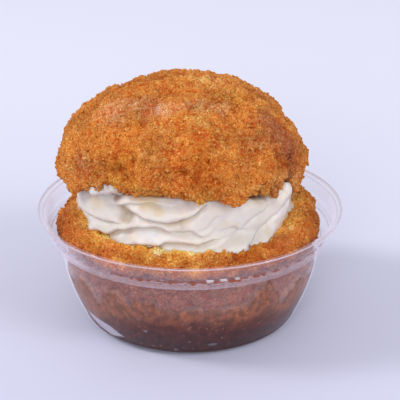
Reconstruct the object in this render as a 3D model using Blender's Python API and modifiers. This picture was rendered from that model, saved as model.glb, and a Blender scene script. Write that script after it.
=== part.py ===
"""A rum baba in the clear cup that holds its syrup: a soaked lower half, a layer of piped cream
and a domed cap that leans back on them. Metres, +Z up, the origin under the middle of the cup,
the open side of the baba towards -Y."""

import math

import bmesh
import bpy
from mathutils import Matrix, Vector, noise
from mathutils.bvhtree import BVHTree

MM = 0.001
GAP = 0.3 * MM  # kept between pieces that lie on each other

# Cup
RIM_RADIUS = 50.0 * MM
CUP_HEIGHT = 38.0 * MM
CUP_WALL = 0.6 * MM
BASE_RADIUS = 32.3 * MM  # of the flat underside
CORNER_RADIUS = 4.1 * MM
CORNER_TURN = 62.3  # degrees
BODY_TOP = 28.4 * MM  # where the tapered wall meets the ledge
BODY_TOP_RADIUS = 42.95 * MM
WALL_SLOPE = 0.018
WALL_CURVE = 9.8  # per metre, how fast the wall draws in towards the base
LEDGE = (46.3 * MM, 29.1 * MM)  # outer corner of the ledge: radius, height
SEAT = (46.5 * MM, 32.0 * MM)  # where the collar widens for a lid
SEAT_STEP = (0.8 * MM, 0.4 * MM)
FLANGE_START = (48.2 * MM, 36.9 * MM)
CUP_SEGMENTS = 48

# Syrup, with the air bubble that shows in the corner of the cup
SYRUP_LEVEL = 16.0 * MM
BUBBLE_TURN = -51.0  # degrees from the front, towards +X
BUBBLE_PLACE = (32.8 * MM, 2.6 * MM)  # radius, height
BUBBLE_SIZE = (5.0 * MM, 11.5 * MM, 3.4 * MM)  # half sizes: outwards, round the cup, up

# Lower half of the baba
BABA_FLOOR = 2.4 * MM
BABA_CORNER = 8.5 * MM
WALL_CLEARANCE = 1.5 * MM  # between the cake and the cup's inner wall
BULGE_CENTRE = (38.8 * MM, 31.8 * MM)
BULGE_WIDTH = 4.7 * MM
BULGE_RISE = 6.6 * MM
BULGE_DROP = 2.2 * MM
CUT_DIP = 1.2 * MM  # the cut face is lower in the middle
BABA_TOP = 39.2 * MM  # no crag of the rim stands higher
BABA_DENTS = ((Vector((-42, 8, 36)) * MM, 2.4 * MM, 8 * MM),)  # in the rim: middle, depth, half width
BABA_COLUMNS = 60

# Cap
CAP_RADIUS = 41.2 * MM
CAP_EQUATOR = 7.0 * MM  # height of its widest ring above the cut face
CAP_HEIGHT = 35.0 * MM
CAP_CUT_RADIUS = 38.2 * MM
CAP_FULLNESS = 1.95  # exponent of the dome's outline: 2 is an ellipse
CAP_CENTRE = (-2.0 * MM, 0.0, 46.7 * MM)  # middle of its cut face
CAP_TILT = -13.5  # degrees about X: the front is lifted
CAP_ROLL = 2.5  # degrees about Y: the left side is lower
CAP_DROOP = 2.0 * MM  # its left and right sides hang over the cream
CAP_REST = BABA_TOP + 1.5 * GAP  # its back rests on the lower half's rim
CAP_DIPS = (  # where the cut edge hangs lower, or is raised: degrees from the front, depth, half width
    (-66, 3.0 * MM, 10),
    (-34, -1.7 * MM, 14),
    (-12, -1.5 * MM, 8),
    (6, 1.5 * MM, 5),
    (22, 2.2 * MM, 8),
    (46, 1.3 * MM, 5),
    (57, -3.4 * MM, 6),
    (68, -1.2 * MM, 6),
    (86, -3.4 * MM, 15),
)
CAP_DENTS = (  # hollows and rises in the dome: middle, depth, half width
    (Vector((-19, 12, 77)) * MM, 1.5 * MM, 9 * MM),
    (Vector((35, 0, 67)) * MM, 1.9 * MM, 11 * MM),
    (Vector((39, -8, 51)) * MM, 3.6 * MM, 6 * MM),
    (Vector((-42, 0, 59)) * MM, 1.2 * MM, 5 * MM),
    (Vector((-42, 0, 50)) * MM, -1.3 * MM, 5 * MM),
    (Vector((8, 0, 82)) * MM, -1.4 * MM, 9 * MM),
    (Vector((39, 6, 47)) * MM, 2.0 * MM, 4 * MM),
    (Vector((-41, -11, 52)) * MM, 1.6 * MM, 4 * MM),
    (Vector((-24, 0, 76)) * MM, -1.0 * MM, 6 * MM),
)
CAP_COLUMNS = 72

# Cream
CREAM_CENTRE = -1.0 * MM  # along X
CREAM_RADIUS = 36.0 * MM  # halfway up
CUT_LEVEL = BULGE_CENTRE[1] + BULGE_RISE  # of the cut face below, at its rim
CREAM_SLACK = 1.0 * MM  # its top edge stays this much below the cap's ragged edge
CREAM_ROUNDING = 1.8 * MM  # its foot and its top edge lie further in by this much
CREAM_FOOT = (  # how far it spreads on the cut face: degrees from the front, radius
    (-180, 36.0 * MM), (-100, 37.0 * MM), (-81, 35.6 * MM), (-71, 33.6 * MM), (-55, 36.8 * MM),
    (-48, 34.9 * MM), (-29, 37.9 * MM), (-18, 35.8 * MM), (-7, 37.4 * MM), (8, 39.0 * MM),
    (25, 39.8 * MM), (38, 39.5 * MM), (52, 36.6 * MM), (64, 34.0 * MM), (91, 35.4 * MM),
    (103, 37.4 * MM), (180, 36.0 * MM),
)
FOOT_PATCH = 0.7 * MM  # half size of the patch of crust that each point of the foot clears
FOOT_SPREAD = 0.3  # share of the cream's height over which its foot spreads
TONGUE_TURN = 58  # degrees from the front: cream pressed out into the notch in the cap's edge
TONGUE_WIDTH = 9
TONGUE_DEPTH = 3.6 * MM
CREAM_COLUMNS = 88
CREAM_LEVELS = 16
FOLD_REACH = 3.0 * MM  # how far above its sharp lower lip a fold of cream still stands proud
FOLD_UNDERCUT = 1.1 * MM
FOLDS = (  # depth in mm, then the lip's course: degrees from the front, height in mm
    (0.9, ((-36, 50.5), (-26, 52.0), (-15, 52.8), (-10, 52.3))),
    (2.4, ((-38, 49.8), (-28, 49.5), (-17, 48.5), (-10, 47.9), (-5, 48.3), (0, 49.2), (10, 52.6))),
    (2.1, ((-56, 38.6), (-44, 40.0), (-33, 43.0), (-22, 45.2), (-14, 46.0), (-8, 44.9))),
    (1.3, ((-2, 44.8), (2, 45.2), (8, 43.3))),
    (2.0, ((-26, 39.2), (-15, 39.6), (-8, 41.6), (0, 41.6), (7, 41.2), (13, 42.0))),
)
RIDGE_START = (-10, 36)  # degrees from the front over which the slanting ridges grow
RIDGE_END = (240, 300)
RIDGE_SPACING = 4 * 360 / CREAM_COLUMNS  # degrees
RIDGE_LEAN = 3.3 / MM  # degrees that a ridge runs on as it climbs by one metre
RIDGE_DEPTH = 1.1 * MM


def material(name, colour, roughness, alpha=1.0):
    """A Principled material with this colour, roughness and opacity."""
    made = bpy.data.materials.new(name)
    made.use_nodes = True
    shader = made.node_tree.nodes["Principled BSDF"]
    shader.inputs["Base Color"].default_value = (*colour, 1.0)
    shader.inputs["Roughness"].default_value = roughness
    shader.inputs["Metallic"].default_value = 0.0
    shader.inputs["Alpha"].default_value = alpha
    return made


def add_object(name, mesh, collection, finish):
    obj = bpy.data.objects.new(name, mesh)
    obj.data.materials.append(finish)
    collection.objects.link(obj)
    return obj


def arc(centre, across, rise, start, end, steps):
    """Points of an ellipse's arc in the half plane of (radius, height)."""
    angles = [math.radians(start + (end - start) * i / steps) for i in range(steps + 1)]
    return [(centre[0] + across * math.cos(a), centre[1] + rise * math.sin(a)) for a in angles]


def smooth(low, high, value):
    """0 below low, 1 above high, with a soft step between."""
    share = max(0.0, min(1.0, (value - low) / (high - low)))
    return share * share * (3 - 2 * share)


def along(course, place):
    """The value at a place on a course of (place, value) points, softly joined."""
    for (start, low), (end, high) in zip(course, course[1:]):
        if place <= end:
            return low + (high - low) * smooth(start, end, place)
    return course[-1][1]


def from_front(x, y):
    """Degrees from the front (-Y) towards +X."""
    return math.degrees(math.atan2(x, -y))


def crags(point, size, depth):
    """Uneven lumps of about this size, up to about this deep."""
    return depth * noise.noise(point / size) + 0.5 * depth * noise.noise(point * 2.3 / size)


def dented(point, dents):
    """Depth of these (middle, depth, half width) hollows at this point."""
    return sum(depth * math.exp(-((point - middle).length / width) ** 2) for middle, depth, width in dents)


def side_normals(line):
    """The unit normal on the outer side of a line, at each of its points."""
    found = []
    for i in range(len(line)):
        before, after = line[max(i - 1, 0)], line[min(i + 1, len(line) - 1)]
        normal = Vector((after[1] - before[1], before[0] - after[0]))
        found.append(normal.normalized())
    return found


def inset(line, distance):
    """The line moved to its inner side, with mitred corners. It starts on the axis, at the bottom."""
    moved = []
    for i, (radius, height) in enumerate(line):
        sides = []
        for a, b in ((i - 1, i), (i, i + 1)):
            if 0 <= a and b < len(line):
                side = Vector((line[a][1] - line[b][1], line[b][0] - line[a][0]))
                sides.append(side.normalized())
        normal = sum(sides, Vector((0, 0))).normalized()
        reach = distance / normal.dot(sides[0])
        moved.append((radius + normal.x * reach, height + normal.y * reach))
    moved[0] = (0.0, moved[0][1])
    return moved


def turned(name, line, collection, finish):
    """A solid of revolution. The line starts and ends on the axis and comes down its outer side."""
    mesh = bpy.data.meshes.new(name)
    edges = [(i, i + 1) for i in range(len(line) - 1)]
    mesh.from_pydata([(radius, 0, height) for radius, height in line], edges, [])
    obj = add_object(name, mesh, collection, finish)
    turn = obj.modifiers.new("Turn", "SCREW")
    turn.steps = turn.render_steps = CUP_SEGMENTS
    turn.use_merge_vertices = True
    turn.merge_threshold = 1e-6
    return obj


def sphere_form(name, columns, rings, place, collection, finish):
    """A closed body from a UV sphere. place(x, y, ring) says where a vertex goes, from its unit
    direction in plan and its ring, 0 at the bottom pole and rings at the top one."""
    mesh = bpy.data.meshes.new(name)
    shape = bmesh.new()
    bmesh.ops.create_uvsphere(shape, u_segments=columns, v_segments=rings, radius=1)
    for vert in shape.verts:
        ring = round(math.acos(max(-1.0, min(1.0, -vert.co.z))) / math.pi * rings)
        plan = Vector((vert.co.x, vert.co.y)).normalized()
        vert.co = place(plan.x, plan.y, ring)
    shape.to_mesh(mesh)
    shape.free()
    mesh.shade_smooth()
    return add_object(name, mesh, collection, finish)


def wall_radius(height):
    """Outer radius of the cup's tapered wall."""
    below = BODY_TOP - height
    return BODY_TOP_RADIUS - WALL_SLOPE * below - WALL_CURVE * below * below


def cup_outside():
    """The cup's outer side, from the middle of its underside to the rim."""
    corner = (BASE_RADIUS, CORNER_RADIUS)
    line = [(0.0, 0.0)]
    line += arc(corner, CORNER_RADIUS, CORNER_RADIUS, -90, CORNER_TURN - 90, 3)
    corner_top = line[-1][1]
    for share in (0.25, 0.5, 0.75, 1.0):
        height = corner_top + (BODY_TOP - corner_top) * share
        line.append((wall_radius(height), height))
    line += [LEDGE, SEAT, (SEAT[0] + SEAT_STEP[0], SEAT[1] + SEAT_STEP[1]), FLANGE_START]
    line.append((RIM_RADIUS, CUP_HEIGHT - CUP_WALL))
    return line


def make_cup(collection):
    outside = cup_outside()
    line = inset(outside, CUP_WALL) + outside[::-1]
    turned("cup", line, collection, material("clear_plastic", (0.86, 0.88, 0.93), 0.08, 0.3))


def baba_line():
    """The lower half's outline, from the middle of its underside to the middle of its cut face."""
    corner_top = BABA_FLOOR + BABA_CORNER
    corner_radius = wall_radius(corner_top) - CUP_WALL - WALL_CLEARANCE - BABA_CORNER
    line = [(0.0, BABA_FLOOR), (corner_radius / 2, BABA_FLOOR)]
    line += arc((corner_radius, corner_top), BABA_CORNER, BABA_CORNER, -90, -15, 4)
    for height in (SYRUP_LEVEL - MM, 21 * MM, 26 * MM):
        line.append((wall_radius(height) - CUP_WALL - WALL_CLEARANCE, height))
    line += arc(BULGE_CENTRE, BULGE_WIDTH, BULGE_DROP, -65, -25, 1)
    line += arc(BULGE_CENTRE, BULGE_WIDTH, BULGE_RISE, 0, 90, 5)
    rim_radius, rim_height = line[-1]
    for share in (0.9, 0.72, 0.5, 0.25, 0.0):
        line.append((rim_radius * share, rim_height - CUT_DIP * (1 - share * share)))
    return line


def make_lower_half(collection, finish):
    line = baba_line()
    sides = side_normals(line)
    rim_radius = BULGE_CENTRE[0]

    def place(x, y, ring):
        radius, height = line[ring]
        dry = smooth(SYRUP_LEVEL + 3 * MM, BODY_TOP + 3 * MM, height)
        crust = smooth(0.95 * rim_radius, rim_radius + 2 * MM, radius) if height > BODY_TOP else 1
        spot = Vector((x * radius, y * radius, height))
        lift = dry * crust * crags(spot, 8 * MM, 1.3 * MM) - dented(spot, BABA_DENTS)
        radius += sides[ring].x * lift
        height = min(height + sides[ring].y * lift, BABA_TOP)
        return Vector((x * radius - 0.5 * MM * dry, y * radius, height))

    return sphere_form("lower_half", BABA_COLUMNS, len(line) - 1, place, collection, finish)


def syrup_line():
    """The syrup's outline: over the cake's wet side, the free surface, then down the cup's wall."""
    cake = [point for point in inset(baba_line(), -GAP) if point[1] < SYRUP_LEVEL]
    cup = [point for point in inset(cup_outside(), CUP_WALL + GAP) if point[1] < SYRUP_LEVEL]
    wet = wall_radius(SYRUP_LEVEL) - CUP_WALL
    surface = [(wet - WALL_CLEARANCE + GAP, SYRUP_LEVEL), (wet - GAP, SYRUP_LEVEL)]
    return cake + surface + cup[::-1]


def make_syrup(collection, helpers):
    syrup = turned("syrup", syrup_line(), collection, material("rum_syrup", (0.10, 0.035, 0.03), 0.1))
    bpy.ops.mesh.primitive_uv_sphere_add(segments=24, ring_count=12, radius=1)
    bubble = bpy.context.object
    bubble.name = "bubble_cutter"
    turn = math.radians(BUBBLE_TURN)
    radius, height = BUBBLE_PLACE
    bubble.location = (radius * math.sin(turn), -radius * math.cos(turn), height)
    bubble.rotation_euler.z = turn - math.pi / 2
    bubble.scale = BUBBLE_SIZE
    bubble.hide_render = True
    bubble.display_type = "WIRE"
    for owner in list(bubble.users_collection):
        owner.objects.unlink(bubble)
    helpers.objects.link(bubble)
    cut = syrup.modifiers.new("Air bubble", "BOOLEAN")
    cut.object = bubble
    cut.solver = "EXACT"


def cap_line():
    """The cap's outline in its own frame, from the middle of its cut face to the top of the dome."""
    line = [(CAP_CUT_RADIUS * share, 0.0) for share in (0.0, 0.35, 0.65, 0.93)]
    edge = (CAP_CUT_RADIUS, CAP_EQUATOR)
    line += arc(edge, CAP_RADIUS - CAP_CUT_RADIUS, CAP_EQUATOR, -90, 0, 5)
    steps = 15
    for step in range(1, steps + 1):
        angle = math.pi / 2 * step / steps
        out = math.cos(angle) ** (2 / CAP_FULLNESS) if step < steps else 0.0
        up = math.sin(angle) ** (2 / CAP_FULLNESS)
        line.append((CAP_RADIUS * out, CAP_EQUATOR + (CAP_HEIGHT - CAP_EQUATOR) * up))
    return line


def cap_pose():
    """Takes a point of the cap's own frame to its place on the cream."""
    tilt = Matrix.Rotation(math.radians(CAP_TILT), 4, "X")
    roll = Matrix.Rotation(math.radians(CAP_ROLL), 4, "Y")
    return Matrix.Translation(CAP_CENTRE) @ roll @ tilt


def bent(point, share):
    """A point of the cap as it drapes over the cream and rests on the rim behind: share is 1 at
    the cut face and 0 at the top."""
    droop = CAP_DROOP * ((point.x - CAP_CENTRE[0]) / CAP_RADIUS) ** 2
    height = point.z - droop * share
    lowest = CAP_REST + 0.75 * CAP_EQUATOR * (1 - share)
    softness = MM
    rise = (height - lowest) / softness
    if rise < 20:
        height = lowest + softness * math.log1p(math.exp(rise))
    return Vector((point.x, point.y, height))


def cap_edge_dip(turn):
    """How much lower the cut edge hangs at this turn from the front."""
    return sum(depth * math.exp(-(((turn - middle) / width) ** 2)) for middle, depth, width in CAP_DIPS)


def make_cap(collection, finish):
    line = cap_line()
    sides = side_normals(line)
    pose = cap_pose()

    def place(x, y, ring):
        radius, height = line[ring]
        share = 1 - height / CAP_HEIGHT
        edge = 1 - smooth(0, 1.7 * CAP_EQUATOR, height)
        crust = smooth(0.93 * CAP_CUT_RADIUS, CAP_CUT_RADIUS, radius) if height < CAP_EQUATOR else 1
        spot = Vector((x * radius, y * radius, height))
        lift = crags(spot, 15 * MM, 0.9 * MM) + crags(spot, 6 * MM, (0.35 + 0.9 * edge) * MM)
        lift -= dented(pose @ spot, CAP_DENTS)
        radius += sides[ring].x * crust * lift
        height += sides[ring].y * crust * lift
        height -= cap_edge_dip(from_front(x, y)) * edge * crust
        return bent(pose @ Vector((x * radius, y * radius, height)), share)

    sphere_form("cap", CAP_COLUMNS, len(line) - 1, place, collection, finish)


def surface_finder(obj):
    """A function that gives the height of this object's upper side at a place in plan."""
    mesh = obj.data
    tree = BVHTree.FromPolygons([v.co for v in mesh.vertices], [p.vertices for p in mesh.polygons])

    def height(x, y):
        return tree.ray_cast(Vector((x, y, 1.0)), Vector((0, 0, -1)))[0].z

    return height


def cream_ceiling(x, y):
    """Height just under the cap's bent cut face and its ragged edge."""
    pose = cap_pose()
    normal = pose.to_3x3() @ Vector((0, 0, 1))
    across, depth = x - pose.translation.x, y - pose.translation.y
    level = pose.translation.z - (normal.x * across + normal.y * depth) / normal.z
    reach = math.hypot(across, depth) / CAP_CUT_RADIUS
    dip = cap_edge_dip(from_front(across, depth))
    hang = smooth(0.85, 1.0, reach) * (CREAM_SLACK + max(0.0, dip))
    hang += smooth(0.97, 1.05, reach) * min(0.0, dip)
    height = bent(Vector((x, y, level)), 1.0).z - 1.5 * GAP
    return max(height - hang, min(height, CAP_REST))


def fold_lift(turn, height):
    """How far the folds of cream stand out: proud above each fold's lip, undercut below it."""
    lift = 0.0
    for depth, course in FOLDS:
        start, end = course[0][0], course[-1][0]
        shown = smooth(start - 6, start + 4, turn) * (1 - smooth(end - 4, end + 6, turn))
        above = height - along(course, turn) * MM
        if above > 0:
            lift += shown * depth * MM * math.exp(-above / FOLD_REACH)
        else:
            lift -= shown * 0.5 * depth * MM * math.exp(above / FOLD_UNDERCUT)
    return lift


def ridges_shown(turn):
    """1 where the nozzle's slanting ridges are at their full depth, 0 where there are none."""
    turn = (turn - RIDGE_START[0]) % 360 + RIDGE_START[0]
    return smooth(*RIDGE_START, turn) * (1 - smooth(*RIDGE_END, turn))


def ridge_lift(start):
    """How far the ridges stand out, with rounded crests and sharp valleys. start is the turn of
    the column of vertices halfway up: the columns lean as the ridges do."""
    return ridges_shown(start) * RIDGE_DEPTH * (abs(math.sin(math.pi * start / RIDGE_SPACING)) ** 0.7 - 0.6)


def make_cream(collection, lower_half):
    finish = material("whipped_cream", (0.88, 0.82, 0.70), 0.45)
    cut_face = surface_finder(lower_half)

    def floor(x, y):
        """Height just above the lower half around this place."""
        around = [cut_face(x + i * FOOT_PATCH, y + j * FOOT_PATCH) for i in (-1, 0, 1) for j in (-1, 0, 1)]
        return max(around) + GAP

    def room(x, y):
        """Height of the cream's side in this direction."""
        return cream_ceiling(x * CREAM_RADIUS, y * CREAM_RADIUS) - CUT_LEVEL

    line = [(share, 0.0) for share in (0.0, 0.4, 0.75)]
    line += [(1.0, level / CREAM_LEVELS) for level in range(CREAM_LEVELS + 1)]
    line += [(share, 1.0) for share in (0.9, 0.7, 0.4, 0.0)]

    def place(x, y, ring):
        inward, share = line[ring]
        start = from_front(x, y)
        turn = start + ridges_shown(start) * RIDGE_LEAN * room(x, y) * (share - 0.5)
        x, y = math.sin(math.radians(turn)), -math.cos(math.radians(turn))
        height = room(x, y)
        radius = CREAM_RADIUS - CREAM_ROUNDING * max(0.0, 2 * share - 1) ** 3
        radius += (along(CREAM_FOOT, turn) - radius) * (1 - smooth(0, FOOT_SPREAD, share))
        relief = fold_lift(turn, CUT_LEVEL + height * share) + ridge_lift(start)
        pressed = smooth(0, 1, share) * math.exp(-(((turn - TONGUE_TURN) / TONGUE_WIDTH) ** 2))
        relief += pressed * TONGUE_DEPTH
        radius = inward * (radius + smooth(0, 4 * MM, height) * smooth(-0.1, 0.15, share) * relief)
        across, depth = CREAM_CENTRE + x * radius, y * radius
        low = floor(across, depth)
        return Vector((across, depth, low + (cream_ceiling(across, depth) - low) * share))

    sphere_form("cream", CREAM_COLUMNS, len(line) - 1, place, collection, finish)


def main():
    for obj in list(bpy.data.objects):
        bpy.data.objects.remove(obj)
    baba = bpy.data.collections.new("rum_baba")
    helpers = bpy.data.collections.new("cutters")
    bpy.context.scene.collection.children.link(baba)
    bpy.context.scene.collection.children.link(helpers)
    crust = material("crust", (0.58, 0.26, 0.07), 0.55)
    make_cup(baba)
    make_syrup(baba, helpers)
    lower_half = make_lower_half(baba, crust)
    make_cream(baba, lower_half)
    make_cap(baba, crust)


main()
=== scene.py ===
"""The looks of a rum baba in its clear cup: crumbly crust, piped cream, syrup behind clear plastic."""

import math
import random

import bmesh
import bpy
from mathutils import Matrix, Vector, noise
from mathutils.bvhtree import BVHTree


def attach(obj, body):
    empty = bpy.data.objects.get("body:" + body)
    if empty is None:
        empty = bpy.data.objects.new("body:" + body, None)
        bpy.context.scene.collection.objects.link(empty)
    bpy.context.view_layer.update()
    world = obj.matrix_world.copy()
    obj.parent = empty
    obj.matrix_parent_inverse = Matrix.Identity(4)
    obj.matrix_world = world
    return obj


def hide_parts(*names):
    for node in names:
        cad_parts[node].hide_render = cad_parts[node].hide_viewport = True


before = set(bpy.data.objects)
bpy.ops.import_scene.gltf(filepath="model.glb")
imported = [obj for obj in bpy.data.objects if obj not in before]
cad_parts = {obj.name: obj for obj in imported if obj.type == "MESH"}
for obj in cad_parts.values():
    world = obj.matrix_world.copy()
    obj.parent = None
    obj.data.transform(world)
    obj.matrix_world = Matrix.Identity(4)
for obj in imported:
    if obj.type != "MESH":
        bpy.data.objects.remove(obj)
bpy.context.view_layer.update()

MM = 0.001
NOISE_SEED = 3  # of noise_vector, which would else differ from run to run

# Camera, fitted to the rings of the cup in the photograph
CAMERA_ELEVATION = math.radians(23.25)
CAMERA_DISTANCE = 450 * MM
CAMERA_AIM = Vector((3.28, 0.0, 38.9)) * MM
CAMERA_LENS = 122.85  # mm, on a sensor 36 mm wide

LIGHT_AIM = Vector((0, 0, 40)) * MM
LIGHTS = (  # name, place, width of the square, power, colour
    ("key", (-2.0, -0.04, 1.84), 0.6, 26.0, (1.0, 0.99, 0.97)),
    ("fill", (1.7, -1.24, 1.48), 1.0, 20.0, (1.0, 0.99, 0.98)),
    ("front", (-0.4, -2.4, 1.15), 1.2, 27.0, (1.0, 1.0, 1.0)),
)
SKY_COLOUR = (0.95, 0.96, 1.0)
SKY_STRENGTH = 0.59

FLOOR_HALF = 2.5  # half its width, in metres
FLOOR_DROP = 0.15 * MM  # the floor lies just below the cup, so that the two don't fight
# painted shade: the floor is darker near the front and lighter further back
FLOOR_NEAR = (0.63, 0.635, 0.82)
FLOOR_FAR = (0.78, 0.785, 0.93)
FLOOR_SPAN = (-0.12, 0.3)  # the colour goes from near to far between these depths, a painted fall-off of the light

# Cup, as in the solids. Points of its outer side are (radius, height)
RIM_RADIUS = 50.0 * MM
CUP_HEIGHT = 38.0 * MM
CUP_WALL = 0.6 * MM
BASE_RADIUS = 32.3 * MM
CORNER_RADIUS = 4.1 * MM
CORNER_TURN = 62.3  # degrees of the corner's arc
BODY_TOP = 28.4 * MM
BODY_TOP_RADIUS = 42.95 * MM
WALL_SLOPE = 0.018  # of the radius just below BODY_TOP
WALL_CURVE = 9.8  # how much faster it narrows further down
LEDGE = (46.3 * MM, 29.1 * MM)
SEAT = (46.5 * MM, 32.0 * MM)
SEAT_STEP = (0.8 * MM, 0.4 * MM)
FLANGE_START = (48.2 * MM, 36.9 * MM)
CORNER_ROUNDING = 0.6 * MM
CORNER_STEPS = 8
WALL_STEPS = 10
ROUNDING_STEPS = 3

# Syrup, as in the solids, and the line up to which it wets the inside of the wall
SYRUP_LEVEL = 16.0 * MM
WET_LINE = (  # degrees from the front, height in mm
    (-180, 17.0), (-150, 19.5), (-130, 17.5), (-105, 21.0), (-80, 18.0), (-64, 18.5), (-57, 22.6),
    (-52, 21.5), (-44, 15.5), (-38, 22.0), (-34, 23.2), (-30, 21.2), (-27, 18.0), (-23, 21.0),
    (-16, 22.2), (-13, 18.4), (-7, 19.0), (2, 20.0), (10, 18.4), (15, 19.6), (26, 19.8),
    (31, 23.6), (35, 27.0), (40, 21.8), (45, 15.4), (51, 20.0), (56, 22.0), (70, 19.0),
    (95, 21.5), (120, 18.0), (150, 20.0), (180, 17.0),
)


def smooth(low, high, value):
    """0 below low, 1 above high, with a soft step between."""
    share = max(0.0, min(1.0, (value - low) / (high - low)))
    return share * share * (3 - 2 * share)


def along(course, place):
    """The value at a place on a course of (place, value) points, softly joined."""
    for (start, low), (end, high) in zip(course, course[1:]):
        if place <= end:
            return low + (high - low) * smooth(start, end, place)
    return course[-1][1]


def from_front(x, y):
    """Degrees from the front (-Y) towards +X."""
    return math.degrees(math.atan2(x, -y))


def crags(point, size, depth):
    """Uneven lumps of about this size, up to about this deep."""
    return depth * noise.noise(point / size) + 0.5 * depth * noise.noise(point * 2.3 / size)


# ------------------------------ camera, light and floor


def add_camera():
    """The camera at the photograph's angle."""
    data = bpy.data.cameras.new("camera")
    data.sensor_width = 36
    data.lens = CAMERA_LENS
    camera = bpy.data.objects.new("camera", data)
    back = Vector((0, -math.cos(CAMERA_ELEVATION), math.sin(CAMERA_ELEVATION)))
    camera.location = CAMERA_AIM + CAMERA_DISTANCE * back
    camera.rotation_euler.x = math.pi / 2 - CAMERA_ELEVATION
    bpy.context.scene.collection.objects.link(camera)
    bpy.context.scene.camera = camera


def add_light(name, place, size, power, colour):
    """A soft square lamp that faces the baba."""
    data = bpy.data.lights.new(name, "AREA")
    data.shape = "SQUARE"
    data.size = size
    data.energy = power
    data.color = colour
    lamp = bpy.data.objects.new(name, data)
    lamp.location = place
    lamp.rotation_euler = (LIGHT_AIM - lamp.location).to_track_quat("-Z", "Y").to_euler()
    bpy.context.scene.collection.objects.link(lamp)


def floor_material():
    """Pale paper, with painted shade that makes it a little darker towards its front edge."""
    made, nodes = new_material("floor", 0.6)
    depth = nodes.add("ShaderNodeSeparateXYZ", {0: nodes.place}).outputs["Y"]
    nodes.join(Base_Color=nodes.mix(nodes.span(depth, *FLOOR_SPAN), FLOOR_NEAR, FLOOR_FAR))
    return made


def add_floor():
    """The table under the cup."""
    mesh = bpy.data.meshes.new("floor")
    shape = bmesh.new()
    bmesh.ops.create_grid(shape, x_segments=1, y_segments=1, size=FLOOR_HALF)
    shape.to_mesh(mesh)
    shape.free()
    floor = bpy.data.objects.new("floor", mesh)
    floor.location.z = -FLOOR_DROP
    floor.data.materials.append(floor_material())
    bpy.context.scene.collection.objects.link(floor)


def add_world():
    """The pale room around it."""
    world = bpy.data.worlds.new("studio")
    world.use_nodes = True
    sky = world.node_tree.nodes["Background"]
    sky.inputs["Color"].default_value = (*SKY_COLOUR, 1)
    sky.inputs["Strength"].default_value = SKY_STRENGTH
    bpy.context.scene.world = world


# ------------------------------ material helpers


class Nodes:
    """Short names for adding nodes to a material's tree."""

    def __init__(self, material):
        self.tree = material.node_tree
        self.shader = self.tree.nodes["Principled BSDF"]
        self.place = self.add("ShaderNodeTexCoord").outputs["Object"]

    def add(self, kind, inputs=None, **settings):
        """Adds a node with these settings, and links or sets its inputs."""
        node = self.tree.nodes.new(kind)
        for key, value in settings.items():
            setattr(node, key, value)
        for key, value in (inputs or {}).items():
            if isinstance(value, bpy.types.NodeSocket):
                self.tree.links.new(value, node.inputs[key])
            else:
                node.inputs[key].default_value = value
        return node

    def noise(self, size, detail=2.0, roughness=0.5, distortion=0.0):
        """Noise with features of about this size in metres, from 0 to 1."""
        inputs = {"Vector": self.place, "Scale": 1 / size, "Detail": detail,
                  "Roughness": roughness, "Distortion": distortion}
        return self.add("ShaderNodeTexNoise", inputs).outputs["Fac"]

    def cells(self, size):
        """Distance to the middle of uneven cells of about this size in metres."""
        inputs = {"Vector": self.place, "Scale": 1 / size}
        return self.add("ShaderNodeTexVoronoi", inputs).outputs["Distance"]

    def attribute(self, name):
        """The mesh attribute of this name."""
        return self.add("ShaderNodeAttribute", attribute_name=name).outputs["Fac"]

    def ramp(self, value, stops):
        """A colour ramp through (position, (r, g, b)) stops."""
        node = self.add("ShaderNodeValToRGB", {"Fac": value})
        ramp = node.color_ramp
        while len(ramp.elements) < len(stops):
            ramp.elements.new(0.5)
        for element, (position, colour) in zip(ramp.elements, stops):
            element.position = position
            element.color = (*colour, 1)
        return node.outputs["Color"]

    def span(self, value, low, high, start=0.0, end=1.0):
        """Maps low..high to start..end, held at both ends, with a soft step."""
        inputs = {"Value": value, "From Min": low, "From Max": high, "To Min": start, "To Max": end}
        return self.add("ShaderNodeMapRange", inputs, interpolation_type="SMOOTHSTEP").outputs["Result"]

    def mix(self, share, first, second, blend="MIX"):
        """Mixes two colours, which are the node's inputs 6 and 7."""
        node = self.add("ShaderNodeMix", data_type="RGBA", blend_type=blend)
        for index, value in ((0, share), (6, first), (7, second)):
            if isinstance(value, bpy.types.NodeSocket):
                self.tree.links.new(value, node.inputs[index])
            elif index:
                node.inputs[index].default_value = (*value, 1)
            else:
                node.inputs[index].default_value = value
        return node.outputs[2]

    def tint(self, share, colour, tint):
        """The colour times this share of the tint."""
        return self.mix(share, colour, tint, "MULTIPLY")

    def math(self, operation, first, second):
        """A sum on two values."""
        return self.add("ShaderNodeMath", {0: first, 1: second}, operation=operation).outputs[0]

    def height(self):
        """Height above the floor."""
        return self.add("ShaderNodeSeparateXYZ", {0: self.place}).outputs["Z"]

    def bump(self, value, distance, strength, under=None):
        """Fine relief from a value, over the relief under."""
        inputs = {"Height": value, "Distance": distance, "Strength": strength}
        if under is not None:
            inputs["Normal"] = under
        return self.add("ShaderNodeBump", inputs).outputs["Normal"]

    def join(self, **sockets):
        """Links values to the shader's sockets, named with _ for a space."""
        for key, value in sockets.items():
            self.tree.links.new(value, self.shader.inputs[key.replace("_", " ")])

    def set(self, **values):
        """Sets the shader's sockets, named with _ for a space."""
        for key, value in values.items():
            self.shader.inputs[key.replace("_", " ")].default_value = value


def new_material(name, roughness):
    """A new material and the helper that adds its nodes."""
    made = bpy.data.materials.new(name)
    made.use_nodes = True
    nodes = Nodes(made)
    nodes.set(Roughness=roughness)
    return made, nodes


# ------------------------------ mesh helpers


def add_piece(name, mesh, node, material):
    """A piece that stands for a CAD node, or rides beside the nodes where node is None."""
    obj = bpy.data.objects.new(name, mesh)
    mesh.materials.clear()
    mesh.materials.append(material)
    bpy.context.scene.collection.objects.link(obj)
    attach(obj, "root")
    if node:
        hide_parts(node)
    return obj


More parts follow.
